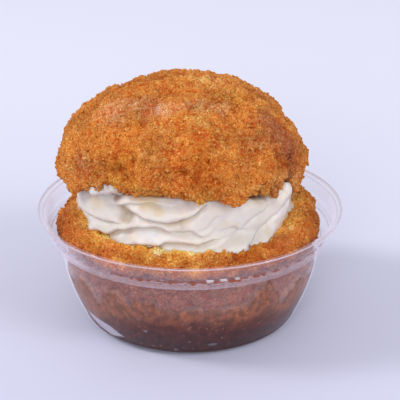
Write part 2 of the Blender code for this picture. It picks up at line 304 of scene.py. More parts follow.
def dense_mesh(node, voxel, smoothing):
    """The CAD node's form as an even, smooth mesh with faces of about this size."""
    source = bpy.data.objects.new("dense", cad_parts[node].data.copy())
    bpy.context.scene.collection.objects.link(source)
    remesh = source.modifiers.new("Remesh", "REMESH")
    remesh.mode = "VOXEL"
    remesh.voxel_size = voxel
    soften = source.modifiers.new("Soften", "SMOOTH")
    soften.factor = 0.5
    soften.iterations = smoothing
    mesh = bpy.data.meshes.new_from_object(source.evaluated_get(bpy.context.evaluated_depsgraph_get()))
    bpy.data.objects.remove(source)
    mesh.name = node
    return mesh


def add_values(mesh, **values):
    """Keeps a value for each vertex, in the order of the vertices, as an attribute for the colours."""
    for name, each in values.items():
        mesh.attributes.new(name, "FLOAT", "POINT").data.foreach_set("value", each)


def roughen(mesh, relief):
    """Moves each vertex along its normal by relief(point, normal), and keeps the height of the
    grain, from 0 to 1, as the attribute grain for the colours."""
    places, grain = [], []
    for vert in mesh.vertices:
        move, height = relief(vert.co, vert.normal)
        places.append(vert.co + vert.normal * move)
        grain.append(height)
    for vert, place in zip(mesh.vertices, places):
        vert.co = place
    add_values(mesh, grain=grain)
    mesh.shade_smooth()


def sphere_mesh(name, columns, rings, place):
    """A closed mesh from a UV sphere. place(x, y, ring) says where a vertex goes, from its unit
    direction in plan and its ring, 0 at the bottom pole and rings at the top one."""
    mesh = bpy.data.meshes.new(name)
    shape = bmesh.new()
    bmesh.ops.create_uvsphere(shape, u_segments=columns, v_segments=rings, radius=1)
    for vert in shape.verts:
        ring = round(math.acos(max(-1.0, min(1.0, -vert.co.z))) / math.pi * rings)
        plan = Vector((vert.co.x, vert.co.y)).normalized()
        vert.co = place(plan.x, plan.y, ring)
    shape.to_mesh(mesh)
    shape.free()
    mesh.shade_smooth()
    return mesh


def arc(centre, radius, start, end, steps):
    """Points of an arc in the half plane of (radius, height), between two angles in degrees."""
    angles = [math.radians(start + (end - start) * i / steps) for i in range(steps + 1)]
    return [(centre[0] + radius * math.cos(a), centre[1] + radius * math.sin(a)) for a in angles]


def inset(line, distance):
    """The line moved to its inner side, with mitred corners. It starts on the axis, at the bottom."""
    moved = []
    for i, (radius, height) in enumerate(line):
        sides = []
        for a, b in ((i - 1, i), (i, i + 1)):
            if 0 <= a and b < len(line):
                sides.append(Vector((line[a][1] - line[b][1], line[b][0] - line[a][0])).normalized())
        normal = sum(sides, Vector((0, 0))).normalized()
        reach = distance / normal.dot(sides[0])
        moved.append((radius + normal.x * reach, height + normal.y * reach))
    moved[0] = (0.0, moved[0][1])
    return moved


def wall_radius(height):
    """Outer radius of the cup's tapered wall."""
    below = BODY_TOP - height
    return BODY_TOP_RADIUS - WALL_SLOPE * below - WALL_CURVE * below * below


def corner_radius(height):
    """Outer radius of the cup at this height, also round its bottom corner."""
    corner_top = CORNER_RADIUS * (1 - math.cos(math.radians(CORNER_TURN)))
    if height >= corner_top:
        return wall_radius(height)
    rise = (CORNER_RADIUS - height) / CORNER_RADIUS
    return BASE_RADIUS + CORNER_RADIUS * math.sqrt(max(0.0, 1 - rise * rise))


def rounded(line, corners, length):
    """The line with these of its corners rounded over this length on either side."""
    result = []
    for i, point in enumerate(line):
        if i not in corners:
            result.append(point)
            continue
        here = Vector(point)
        before, after = Vector(line[i - 1]) - here, Vector(line[i + 1]) - here
        reach = min(length, 0.45 * before.length, 0.45 * after.length)
        start, end = here + before.normalized() * reach, here + after.normalized() * reach
        for step in range(ROUNDING_STEPS + 1):
            t = step / ROUNDING_STEPS
            result.append(tuple((1 - t) ** 2 * start + 2 * t * (1 - t) * here + t * t * end))
    return result


def cup_outside():
    """The cup's outer side, from the middle of its underside to the rim."""
    line = [(0.0, 0.0), (0.5 * BASE_RADIUS, 0.0)]
    centre = (BASE_RADIUS, CORNER_RADIUS)
    line += arc(centre, CORNER_RADIUS, -90, CORNER_TURN - 90, CORNER_STEPS)
    corner_top = line[-1][1]
    for step in range(1, WALL_STEPS + 1):
        height = corner_top + (BODY_TOP - corner_top) * step / WALL_STEPS
        line.append((wall_radius(height), height))
    start = len(line)
    line += [LEDGE, SEAT, (SEAT[0] + SEAT_STEP[0], SEAT[1] + SEAT_STEP[1]), FLANGE_START]
    line.append((RIM_RADIUS, CUP_HEIGHT - CUP_WALL))
    return rounded(line, range(start - 1, start + 4), CORNER_ROUNDING)


# ------------------------------ cup


CUP_COLUMNS = 360
HAZE = (0.82, 0.73, 0.80)  # colour of the plastic where it hides what is behind
HAZE_ASIDE = (0.55, 0.52, 0.66)  # where the plastic is seen from the side
DRY_HAZE = (0.032, 0.3)  # how much it hides, seen straight and what is added from the side
WET_HAZE = (0.003, 0.07)  # the same where syrup wets the inside
CORNER_HAZE_AND_HIGHLIGHT = 0.62  # along the corners of the cup: partly thicker plastic, partly painted highlight lines
EDGE_REACH = 0.26 * MM
GLOSS = (0.021, 0.2)  # seen straight, and what is added from the side
COLLAR_REFLECTION = (  # painted reflection of the room on the collar, stronger on the left: degrees from the front, share
    (-180, 0.0), (-105, 0.0), (-74, 0.30), (-58, 0.28), (-50, 0.22), (-40, 0.04), (50, 0.02),
    (64, 0.05), (100, 0.0), (180, 0.0),
)
COLLAR_TOP = (37.0 * MM, 35.5 * MM)  # this painted reflection ends between these heights
STAIN_COLOUR = (0.25, 0.045, 0.006)
STAIN_REACH = 0.45 * MM  # from the seat, on either side of the plastic
STAIN = (  # how much syrup there is along the seat: degrees from the front, share
    (-180, 0.0), (-82, 0.0), (-74, 0.3), (-40, 0.35), (-22, 0.7), (30, 0.75), (42, 0.5), (70, 0.45),
    (78, 0.0), (180, 0.0),
)
GLINT_COLOUR = (1.0, 0.97, 0.94)
GLINT_REACH = 0.28 * MM
GLINT_STRENGTH = 0.8
GLINTS = (  # on the stain: degrees from the front, and half width in degrees
    (-73, 1.4), (-68, 0.7), (-63.5, 1.1), (-57, 0.6), (7.6, 1.3), (13.1, 1.4), (18.4, 1.1),
)


def cup_material():
    """Clear plastic: a faint haze and a gloss on top, weaker haze where syrup wets the inside, haze
    along the corners that is partly painted highlight, a painted reflection on the collar, and
    syrup and its glints along the seat."""
    made, nodes = new_material("clear_plastic", 0.1)
    nodes.set(IOR=1.5)
    facing = nodes.add("ShaderNodeLayerWeight", {"Blend": 0.5}).outputs["Facing"]
    aside = nodes.math("POWER", facing, 3.0)
    wet = nodes.attribute("wet")
    straight = nodes.span(wet, 0.0, 1.0, DRY_HAZE[0], WET_HAZE[0])
    added = nodes.math("MULTIPLY", aside, nodes.span(wet, 0.0, 1.0, DRY_HAZE[1], WET_HAZE[1]))
    haze = nodes.math("ADD", straight, added)
    # haze along the corners: partly thicker plastic, partly painted highlight lines
    haze = nodes.math("ADD", haze, nodes.math("MULTIPLY", nodes.attribute("edge"), CORNER_HAZE_AND_HIGHLIGHT))
    # the painted reflection on the collar adds to the haze
    haze = nodes.math("ADD", haze, nodes.attribute("collar"))
    uneven = nodes.span(nodes.noise(1.5 * MM), 0.35, 0.6, 0.45, 1.3)
    stain = nodes.span(nodes.math("MULTIPLY", nodes.attribute("stain"), uneven), 0.15, 0.35)
    glint = nodes.span(nodes.attribute("glint"), 0.2, 0.6)
    colour = nodes.mix(aside, HAZE, HAZE_ASIDE)
    colour = nodes.mix(stain, colour, STAIN_COLOUR)
    colour = nodes.mix(glint, colour, GLINT_COLOUR)
    covered = nodes.math("MULTIPLY", nodes.math("MAXIMUM", stain, glint), 0.9)
    nodes.join(Base_Color=colour, Alpha=nodes.math("ADD", haze, covered))
    gloss = nodes.math("MULTIPLY", nodes.math("POWER", facing, 5.0), GLOSS[1])
    gloss = nodes.math("ADD", GLOSS[0], gloss)
    waves = nodes.bump(nodes.noise(3.5 * MM), 0.12 * MM, 0.5)
    shine = nodes.add("ShaderNodeBsdfGlossy", {"Color": gloss, "Roughness": 0.06, "Normal": waves})
    both = nodes.add("ShaderNodeAddShader", {0: nodes.shader.outputs[0], 1: shine.outputs[0]})
    nodes.tree.links.new(both.outputs[0], nodes.tree.nodes["Material Output"].inputs["Surface"])
    return made


def dashes(turn):
    """How much syrup stains the seat at this turn from the front, and how much of a glint it has."""
    spot = Vector((turn / 5, 0, 0))
    stain = along(STAIN, turn) * (1 + 0.7 * noise.noise(spot) + 0.7 * noise.noise(spot * 3))
    glint = max(smooth(0.5, 0.0, abs(turn - middle) - half) for middle, half in GLINTS)
    return stain, GLINT_STRENGTH * glint


def cup_looks(point):
    """Haze along the edges, partly painted highlight, the painted reflection on the collar,
    wetness, stain and glint at a point of the cup.
    """
    here = Vector((math.hypot(point.x, point.y), point.z))
    turn = from_front(point.x, point.y)
    corners = LEDGE, (wall_radius(BODY_TOP), BODY_TOP), FLANGE_START, (RIM_RADIUS, CUP_HEIGHT - CUP_WALL)
    from_corner = min((here - Vector(corner)).length for corner in corners)
    seats = Vector(SEAT), Vector(SEAT) - Vector((CUP_WALL, 0.0))  # outside and inside
    from_seat = min((here - seat).length for seat in seats)
    on_collar = smooth(LEDGE[1] - 0.4 * MM, LEDGE[1] + 0.2 * MM, here.y) * smooth(*COLLAR_TOP, here.y)
    below_seat = smooth(SEAT[1] + 0.3 * MM, SEAT[1] - 0.3 * MM, here.y)
    stain, glint = dashes(turn)
    return {
        # the corners' haze, partly painted highlight
        "edge": math.exp(-((from_corner / EDGE_REACH) ** 2)),
        # painted reflection on the collar, a little stronger below the seat
        "collar": along(COLLAR_REFLECTION, turn) * on_collar * (1 + 0.3 * below_seat),
        "wet": smooth(-MM, 0.5 * MM, along(WET_LINE, turn) * MM - here.y),
        "stain": stain * math.exp(-((from_seat / STAIN_REACH) ** 2)),
        "glint": glint * math.exp(-((from_seat / GLINT_REACH) ** 2)),
    }


def make_cup():
    """The cup, one closed skin along its outer and inner sides."""
    outside = cup_outside()
    line = outside + inset(outside, CUP_WALL)[::-1]

    def place(x, y, ring):
        radius, height = line[ring]
        return Vector((x * radius, y * radius, height))

    mesh = sphere_mesh("cup", CUP_COLUMNS, len(line) - 1, place)
    looks = [cup_looks(vert.co) for vert in mesh.vertices]
    add_values(mesh, **{name: [each[name] for each in looks] for name in looks[0]})
    add_piece("clear_cup", mesh, "cup", cup_material())


# ------------------------------ syrup


SYRUP_COLUMNS = 480
SYRUP_ROWS = 64
TOP_SHARES = (1.0, 0.9, 0.5, 0.0)  # of the radius, on the rings of its flat top
SYRUP_COLOURS = (  # from the dark syrup at the bottom to the soaked crust
    (0.0, (0.040, 0.010, 0.008)), (0.3, (0.064, 0.013, 0.009)), (0.55, (0.112, 0.026, 0.012)),
    (0.75, (0.215, 0.078, 0.042)), (1.0, (0.265, 0.106, 0.062)),
)
INTO_WALL = 0.15 * MM  # it reaches this far into the plastic, so that no air shows between the two
SYRUP_FOOT = 0.9 * MM  # below this height its outline is that of the cup's inside
WET_EDGE = 1.1 * MM  # the film on the wall draws back to the cake over this height
WET_RAGS = ((0.9, 2.1), (0.8, 5), (0.5, 13))  # how ragged the wet line is: mm, and how often
DARK_LINE = (  # below this the syrup is dark: degrees from the front, height in mm
    (-180, 12.5), (-120, 12.0), (-80, 9.0), (-54, 7.2), (-40, 10.6), (-28, 12.7), (-18, 14.4), (4, 14.7),
    (18, 13.8), (28, 13.2), (39, 12.4), (50, 10.4), (80, 12.0), (130, 13.0), (180, 12.5),
)
POCKET_TOP = ((-69, 7.4), (-60, 7.6), (-46, 7.0), (-34, 3.8))  # of the air bubble at the wall
POCKET_BASE = ((-69, 7.2), (-62, 4.0), (-54, 2.4), (-46, 1.9), (-34, 3.6))
POCKET_DEPTH = 0.5 * MM
BUBBLES = (  # degrees from the front, then height and half sizes in mm
    (11.5, 4.6, 1.3, 0.5), (-7, 2.4, 0.6, 0.4), (-21, 9.5, 0.5, 0.6),
)


def syrup_material():
    """Soaked crust at the wall, and darker syrup towards the bottom. The attribute depth is the
    height above the dark syrup, bubble is 1 where air lies against the wall, which is painted
    pale as a painted reflection."""
    made, nodes = new_material("rum_syrup", 0.35)
    nodes.set(Specular_IOR_Level=0.2)
    clouds = nodes.math("ADD", nodes.noise(5 * MM, 4, 0.6), -0.5)
    height = nodes.math("ADD", nodes.attribute("depth"), nodes.math("MULTIPLY", clouds, 7.0))
    colour = nodes.ramp(nodes.span(height, -13.0, 9.0), SYRUP_COLOURS)
    tongues = nodes.span(nodes.noise(3.2 * MM, 3, 0.6, 0.6), 0.52, 0.66)
    high = nodes.span(height, -3.0, 4.0, 0.0, 0.75)
    colour = nodes.mix(nodes.math("MULTIPLY", tongues, high), colour, (0.28, 0.088, 0.028))
    mauve = nodes.span(nodes.noise(4.3 * MM), 0.5, 0.7, 0.0, 0.6)
    colour = nodes.tint(mauve, colour, (0.9, 1.0, 1.5))
    grains = nodes.span(nodes.noise(0.8 * MM, 3, 0.6), 0.35, 0.65)
    colour = nodes.mix(grains, nodes.tint(0.8, colour, (0.66, 0.60, 0.58)), colour)
    light = nodes.span(nodes.noise(2.6 * MM, 3, 0.6), 0.42, 0.58)
    colour = nodes.tint(1.0, colour, nodes.mix(light, (0.76, 0.73, 0.75), (1.25, 1.15, 1.03)))
    flecks = nodes.span(nodes.cells(2 * MM), 0.10, 0.22, 0.8, 0.0)
    fleck_areas = nodes.span(nodes.noise(4 * MM), 0.45, 0.6)
    colour = nodes.mix(nodes.math("MULTIPLY", flecks, fleck_areas), colour, (0.34, 0.15, 0.075))
    specks = nodes.span(nodes.cells(2.4 * MM), 0.05, 0.11, 1.0, 0.0)
    speck_areas = nodes.span(nodes.noise(7 * MM), 0.45, 0.6)
    colour = nodes.mix(nodes.math("MULTIPLY", specks, speck_areas), colour, (0.38, 0.20, 0.13))
    # painted reflection: where air lies against the wall, a pale lavender stands for the room seen in the
    # bubble
    nodes.join(Base_Color=nodes.mix(nodes.attribute("bubble"), colour, (0.40, 0.37, 0.44)))
    return made


def air(turn, height):
    """1 where the air bubble or one of the small ones touches the wall, 0 elsewhere."""
    here = height / MM
    inside = -1.0
    if POCKET_TOP[0][0] < turn < POCKET_TOP[-1][0]:
        inside = min(along(POCKET_TOP, turn) - here, here - along(POCKET_BASE, turn))
    shown = smooth(-0.1, 0.5, inside)
    for middle, level, wide, high in BUBBLES:
        across = math.radians(turn - middle) * BASE_RADIUS / MM
        shown = max(shown, smooth(1.2, 0.8, math.hypot(across / wide, (here - level) / high)) * 0.3)
    return shown


def make_syrup():
    """The syrup and the soaked crust that touches the wall, up to an uneven wet line."""
    foot = [point for point in inset(cup_outside(), CUP_WALL - INTO_WALL) if point[1] < SYRUP_FOOT]
    depths, bubbles = [], []

    def place(x, y, ring):
        turn = from_front(x, y)
        spot = Vector((x, y, 0)) * 6
        ragged = sum(high * noise.noise(spot * often) for high, often in WET_RAGS)
        top = (along(WET_LINE, turn) + ragged) * MM
        low = foot[-1][1]
        row = ring - len(foot) + 1
        if row <= 0:
            radius, height = foot[ring]
        else:
            height = low + (top - low) * min(1.0, row / SYRUP_ROWS)
            inwards = WET_EDGE * smooth(top - WET_EDGE, top, height)
            radius = corner_radius(height) - CUP_WALL + INTO_WALL - inwards
            radius *= TOP_SHARES[max(0, row - SYRUP_ROWS)]
        depths.append(height / MM - along(DARK_LINE, turn))
        bubble = air(turn, height) if 0 < row <= SYRUP_ROWS else 0.0
        bubbles.append(bubble)
        radius -= POCKET_DEPTH * bubble
        return Vector((x * radius, y * radius, height))

    mesh = sphere_mesh("syrup", SYRUP_COLUMNS, len(foot) + SYRUP_ROWS + len(TOP_SHARES) - 2, place)
    add_values(mesh, depth=depths, bubble=bubbles)
    add_piece("syrup_body", mesh, "syrup", syrup_material())


# ------------------------------ cake


CUT_EDGE = (36.5 * MM, 42.0 * MM)  # the cut crumb turns into the baked skin between these radii
SOAKED_AND_SHADED_TOP = (29.5 * MM, 35.0 * MM)  # and the soaked, darker cake into the dry one between these heights; the darkness is partly the soak, partly painted shade below the rim
CAP_CRUMB = (0.84, 0.385, 0.080)
CAP_SKIN = (0.77, 0.27, 0.042)
HALF_CRUMB = (0.94, 0.43, 0.075)
HALF_SKIN = (0.74, 0.230, 0.036)
# partly the soaked cake's own colour, partly painted shade inside the cup
SOAKED_AND_SHADED_CRUMB = (0.335, 0.108, 0.048)
CAP_PATCHES = (  # middle and half width in mm, then the tint there; some are painted sheen or painted light
    # painted sheen: a pale band across the top, in this line and the next four
    ((-23, -17, 76.5), 9, (1.02, 1.22, 2.4)),
    ((-13, -20, 78), 7, (1.05, 1.28, 2.6)),
    ((-6, -22, 78), 6, (1.1, 1.45, 3.0)),
    ((3, -21, 79), 5, (1.05, 1.28, 2.2)),
    ((10, -20, 79), 5, (1.1, 1.4, 2.6)),
    ((28, -17, 69), 12, (0.66, 0.62, 1.2)),
    ((21, -27, 70), 7, (0.82, 0.80, 1.1)),
    ((23, 3, 74), 7, (0.82, 0.78, 1.0)),
    ((-20, -2, 79), 4.5, (0.55, 0.42, 0.45)),
    ((0, -8, 82), 3.5, (0.95, 0.82, 0.78)),
    ((-7, -14, 81), 3, (0.85, 0.60, 0.5)),
    ((14, -12, 79.5), 8, (1.0, 1.16, 1.1)),
    ((32, -22, 57), 12, (0.70, 0.56, 0.72)),
    ((3, -38, 62), 12, (0.84, 0.70, 0.56)),
    # painted sheen on the top
    ((8, -2, 82), 14, (1.03, 1.17, 1.5)),
    ((-38, -10, 62), 12, (1.12, 1.2, 1.2)),
    ((26, -10, 75), 9, (1.1, 1.15, 1.2)),
    # painted light in the shade of the groove by the notch
    ((33, -20, 54), 6, (1.3, 1.8, 2.2)),
    # painted light on the shaded lower edge, in this line and the next two
    ((-15, -36, 55), 7, (1.12, 1.45, 1.5)),
    ((4, -38, 54), 6, (1.1, 1.2, 1.1)),
    ((22, -33, 52), 6, (1.1, 1.25, 1.3)),
    ((-21, -34, 58), 9, (0.92, 0.80, 0.62)),
    ((-33, -22, 60), 7, (0.95, 0.92, 1.3)),
    # painted light on the shaded lower edge
    ((-14, -39, 52), 8, (1.06, 1.18, 1.15)),
    ((18, -37, 66), 6, (0.9, 0.86, 1.3)),
    ((-21, -22, 75), 5, (0.86, 0.94, 1.1)),
    ((-20.7, -32.3, 66), 8, (0.86, 0.78, 0.55)),
    ((3.3, -36.4, 67.5), 7, (0.90, 0.86, 0.72)),
    ((28, -24.5, 63), 6, (0.82, 0.78, 0.70)),
    # painted light in the shade by the notch, in this line and the next
    ((28, -26.5, 57), 5, (1.2, 1.6, 1.9)),
    ((30, -23.5, 57), 2.6, (1.4, 1.9, 2.2)),
    ((-21, -34, 59), 5, (1.06, 1.3, 1.3)),
    # painted sheen on the top and upper front, in this line and the next
    ((3.3, -6, 82.4), 8, (1.04, 1.3, 1.45)),
    ((3.3, -25, 77), 6, (0.98, 1.15, 1.3)),
    # painted light on the shaded lower edge
    ((3.3, -40, 54.5), 6, (1.02, 1.10, 1.05)),
)
HALF_PATCHES = (  # the same for the lower half
    ((-42, -9, 36), 9, (0.72, 0.60, 0.60)),
    ((-38.5, -18, 36), 6, (0.80, 0.66, 0.62)),
    ((-33, -18, 38.4), 4, (1.12, 1.35, 1.5)),
    ((-25.4, -26.6, 38.1), 2.6, (1.15, 1.9, 3.4)),
    ((-40, 8, 37), 8, (0.85, 0.72, 0.70)),
    ((40, -8, 36), 10, (0.80, 0.72, 0.70)),
    ((18, -37, 37), 8, (0.74, 0.64, 0.5)),
    ((2, -40, 37), 11, (1.12, 1.35, 1.35)),
    ((28, -30, 38), 8, (0.82, 0.80, 0.9)),
    ((32, -21, 38.3), 1.6, (1.3, 1.8, 3.2)),
    ((41, 8.6, 37.5), 2, (1.25, 1.6, 2.5)),
    ((-27, -29, 38), 5, (1.15, 1.35, 1.4)),
    ((-9, -37, 38.2), 3.5, (1.1, 1.7, 3.6)),
    ((1, -38.5, 38.2), 3, (1.1, 1.6, 3.0)),
    ((-17, -37, 38), 8, (1.1, 1.25, 1.15)),
    ((-31, -28, 38), 6, (1.1, 1.25, 1.1)),
    ((-10, -37, 37), 6, (1.02, 1.12, 1.08)),
    ((-23.4, -38, 31.5), 6, (1.2, 1.15, 1.2)),
    ((-5, -38.5, 38.6), 9, (1.0, 1.1, 1.1)),
)


def tinted(nodes, colour, areas):
    """The colour with the tints of these (middle, half width, tint) places, which have ragged edges."""
    for middle, half_width, tint in areas:
        spot = tuple(c * MM for c in middle)
        width = half_width * MM
        away = nodes.add("ShaderNodeVectorMath", {0: nodes.place, 1: spot}, operation="DISTANCE")
        ragged = nodes.math("MULTIPLY", nodes.noise(6 * MM, 3), -width)
        away = nodes.math("ADD", away.outputs["Value"], ragged)
        colour = nodes.tint(nodes.span(away, -0.3 * width, 0.5 * width, 1.0, 0.0), colour, tint)
    return colour


def crust_material(name, inner, outer, areas, soaked=None):
    """Crumbly crust: light curls and specks over darker pits, with browner patches. The light
    curls and specks are partly lighter crumb and partly painted highlights, the pits partly
    darker crumb and partly painted shade. inner and outer are the colours of the crumb and of
    the baked skin, areas the tints of certain places, some of them painted sheen or painted
    light, soaked the colour of the cake below the rim, partly painted shade inside the cup."""
    made, nodes = new_material(name, 0.6)
    nodes.set(Subsurface_Weight=0.2, Subsurface_Radius=(1.0, 0.4, 0.12), Subsurface_Scale=1.2 * MM,
              Specular_IOR_Level=0.1)
    patches = nodes.noise(11 * MM, 3, 0.55)
    skin = nodes.mix(nodes.span(patches, 0.42, 0.66), outer, tuple(0.74 * c for c in outer))
    skin = nodes.mix(nodes.span(nodes.noise(5 * MM), 0.5, 0.75, 0.0, 0.6), skin, inner)
    if soaked:
        flat = nodes.add("ShaderNodeVectorMath", {0: nodes.place, 1: (1, 1, 0)}, operation="MULTIPLY")
        radius = nodes.add("ShaderNodeVectorMath", {0: flat.outputs[0]}, operation="LENGTH")
        skin = nodes.mix(nodes.span(radius.outputs["Value"], *CUT_EDGE), inner, skin)
        # below the rim: partly the cake's own soaked colour, partly painted shade inside the cup
        blotches = nodes.span(nodes.noise(2.4 * MM, 3, 0.6), 0.42, 0.58)
        wet = nodes.mix(blotches, tuple(0.82 * c for c in soaked), tuple(1.15 * c for c in soaked))
        skin = nodes.mix(nodes.span(nodes.height(), *SOAKED_AND_SHADED_TOP), wet, skin)
    skin = tinted(nodes, skin, areas)
    grain = nodes.attribute("grain")
    # darker in the pits between the crumbs: partly darker crumb, partly painted shade
    pits = nodes.tint(nodes.span(grain, 0.02, 0.42, 0.8, 0.0), skin, (0.80, 0.38, 0.24))
    # lighter on the tops of the crumbs: partly lighter crumb, partly painted light
    lit_peaks = nodes.tint(nodes.span(grain, 0.45, 0.9, 0.0, 0.4), pits, (1.2, 1.3, 1.3))
    # light curls and specks: partly lighter crumb, partly painted highlights; dark tints where curls and
    # cell borders sink in: partly darker crumb, partly painted shade
    curls = nodes.noise(0.9 * MM, 3, 0.65, 1.6)
    fine = nodes.tint(nodes.span(curls, 0.53, 0.62), lit_peaks, (1.22, 1.75, 3.5))
    fine = nodes.tint(nodes.span(curls, 0.35, 0.45, 1.0, 0.0), fine, (0.72, 0.36, 0.21))
    cells = nodes.cells(0.7 * MM)
    fine = nodes.tint(nodes.span(cells, 0.06, 0.26, 0.7, 0.0), fine, (1.22, 1.6, 2.9))
    fine = nodes.tint(nodes.span(cells, 0.45, 0.72, 0.0, 0.5), fine, (0.84, 0.48, 0.32))
    relief = nodes.math("SUBTRACT", curls, nodes.math("MULTIPLY", cells, 0.4))
    nodes.join(Base_Color=fine, Normal=nodes.bump(relief, 0.9 * MM, 0.9))
    return made


CRUMB_SIZES = (0.2 * MM, 0.55 * MM)  # of loose crumbs
EDGE_CRUMB_SIZES = (0.3 * MM, 0.8 * MM)
CAP_CRUMB_COUNT = 5000
EDGE_CRUMB_COUNT = 1600
LOWER_CRUMB_COUNT = 3000

CAP_VOXEL = 0.45 * MM
CAP_SMOOTHING = 14
CAP_CENTRE = -2.0 * MM  # along X
CAP_EDGE = (33.0 * MM, 36.0 * MM)  # its ragged edge lies beyond these distances from the middle
FURROW_STRETCH = 0.6  # the lumps of the crust are longer upwards
CUT_RELIEF = 0.15  # share of the relief on the cut face, which lies on the cream
NOTCH_TURN = 54.2  # the gap in the cap's edge that shows the tongue of cream: degrees from the front
NOTCH_WIDTH = 5.0  # degrees on either side
NOTCH_STEEPNESS = 8
NOTCH_RISE = 5.6 * MM
NOTCH_SPAN = (66 * MM, 51 * MM)  # not at all at the first of these heights, in full at the second
EDGE_RISE = (  # how much higher the cap's edge lies: degrees from the front, mm
    (-180, 0.0), (-42, 0.0), (-34, -0.9), (-18, -0.9), (-10, 0.0), (28, 0.0), (34, 1.8), (44, 2.0),
    (47.5, 0.9), (49.5, -0.6), (52, 0.0), (58, 0.0), (62, -0.9), (80, -0.9), (90, 0.0), (180, 0.0),
)
EDGE_SPAN = (59 * MM, 52 * MM)  # not at all at the first height, in full at the second
SMEARS = (  # cream smeared on the cap's edge: middle and half width in mm
    ((-28.5, -25.5, 52.8), 2.8), ((-25.5, -27.5, 53.6), 3.2), ((-22.5, -29.5, 54.2), 3.0),
)
SMEAR_FOOT = -1.0 * MM  # from the crust without its relief, at the smears' border
SMEAR_TOP = 1.5 * MM  # and inside it
HALF_VOXEL = 0.5 * MM
HALF_SMOOTHING = 12
UNDER_CREAM = (32.5 * MM, 34.5 * MM)  # the cut face is even within these radii
CRUMBS_FROM = 33.5 * MM  # and loose crumbs lie on it beyond this one
WALL_GAP = 0.15 * MM  # between the crust and the wall of the cup
WALL_END = 0.1 * MM  # the crust is held in as far as this below the rim


def crumb_height(point, size):
    """Rounded crumbs of about this size: 1 on top of one, 0 in the pits between."""
    nearest = noise.voronoi(point / size)[0][0]
    return max(0.0, 1 - 1.35 * nearest)


def crumb_relief(point):
    """Depth of the crust's relief and the height of its grain."""
    warped = point + 0.9 * MM * noise.noise_vector(point / (2.2 * MM))
    grain = 0.6 * crumb_height(warped, 1.35 * MM) + 0.4 * crumb_height(warped + Vector((1, 0, 0)), 0.9 * MM)
    furrowed = Vector((point.x, point.y, FURROW_STRETCH * point.z))
    lumps = 0.7 - 2.2 * abs(noise.noise(furrowed / (5.5 * MM)))
    clumps = noise.noise(warped / (2.6 * MM)) + 0.9 * lumps
    return (0.95 * (grain - 0.7) + 0.8 * clumps) * MM, min(1.0, max(0.0, grain + 0.2 * clumps))


def crumb_sphere():
    """Corners and faces of a coarse ball, the form that crumbs are made from."""
    shape = bmesh.new()
    bmesh.ops.create_icosphere(shape, subdivisions=1, radius=1)
    corners = [vert.co.copy() for vert in shape.verts]
    faces = [[vert.index for vert in face.verts] for face in shape.faces]
    shape.free()
    return corners, faces


def add_crumbs(name, body, count, sizes, shown, material):
    """Loose and half-attached crumbs on the body's surface, where shown(point, normal) is true."""
    draw = random.Random(name)
    corners, faces = crumb_sphere()
    spots = [p for p in body.data.polygons if shown(p.center, p.normal)]
    points, sides, tones = [], [], []
    for spot in draw.choices(spots, [p.area for p in spots], k=count):
        size = draw.uniform(*sizes)
        middle = spot.center + spot.normal * size * draw.uniform(-0.2, 0.5)
        stretch = Vector([size * draw.uniform(0.6, 1.2) for _ in range(3)])
        tone = draw.uniform(0.55, 1.0)
        sides += [[len(points) + i for i in face] for face in faces]
        for corner in corners:
            uneven = 1 + 0.5 * noise.noise((middle + size * corner) / size)
            points.append(middle + stretch * corner * uneven)
        tones += [tone] * len(corners)
    mesh = bpy.data.meshes.new(name)
    mesh.from_pydata(points, [], sides)
    add_values(mesh, grain=tones)
    mesh.shade_smooth()
    add_piece(name, mesh, None, material)


def cap_relief(point, normal):
    """The crust's relief, which is faint on the cut face."""
    move, grain = crumb_relief(point)
    shows = smooth(-0.9, -0.55, normal.z)
    return move * (CUT_RELIEF + (1 - CUT_RELIEF) * shows), grain


def at_edge(point, normal):
    """1 on the cap's ragged lower edge that shows, 0 on its dome and on its cut face."""
    reach = math.hypot(point.x - CAP_CENTRE, point.y)
    return smooth(*CAP_EDGE, reach) * smooth(0.3, -0.3, normal.z) * smooth(-1.0, -0.8, normal.z)


def edge_rise(point, normal):
    """How far a point of the cap moves up, for its ragged edge, the notch and the higher stretches."""
    turn = from_front(point.x - CREAM_CENTRE, point.y)
    drop = crags(point, 2.6 * MM, 1.5 * MM) + crags(point, 1.1 * MM, 0.6 * MM)
    in_notch = math.exp(-(((turn - NOTCH_TURN) / NOTCH_WIDTH) ** NOTCH_STEEPNESS))
    pushed = NOTCH_RISE * in_notch * smooth(*NOTCH_SPAN, point.z)
    rise = along(EDGE_RISE, turn) * MM * smooth(*EDGE_SPAN, point.z)
    return rise + pushed - at_edge(point, normal) * drop


def make_cap(cream_finish):
    """The cap, its crumbs and the cream smeared on its edge."""
    mesh = dense_mesh("cap", CAP_VOXEL, CAP_SMOOTHING)
    even = [(vert.co.copy(), vert.normal.copy()) for vert in mesh.vertices]
    roughen(mesh, cap_relief)
    rises = [edge_rise(vert.co, vert.normal) for vert in mesh.vertices]
    for vert, rise in zip(mesh.vertices, rises):
        vert.co.z += rise
    material = crust_material("cap_crust", CAP_CRUMB, CAP_SKIN, CAP_PATCHES)
    cap = add_piece("cap_crust", mesh, "cap", material)

    def on_dome(point, normal):
        return normal.z > -0.6

    def on_edge(point, normal):
        return at_edge(point, normal) > 0.3

    add_crumbs("cap_crumbs", cap, CAP_CRUMB_COUNT, CRUMB_SIZES, on_dome, material)
    add_smears(mesh, even, cream_finish)
    add_crumbs("edge_crumbs", cap, EDGE_CRUMB_COUNT, EDGE_CRUMB_SIZES, on_edge, material)


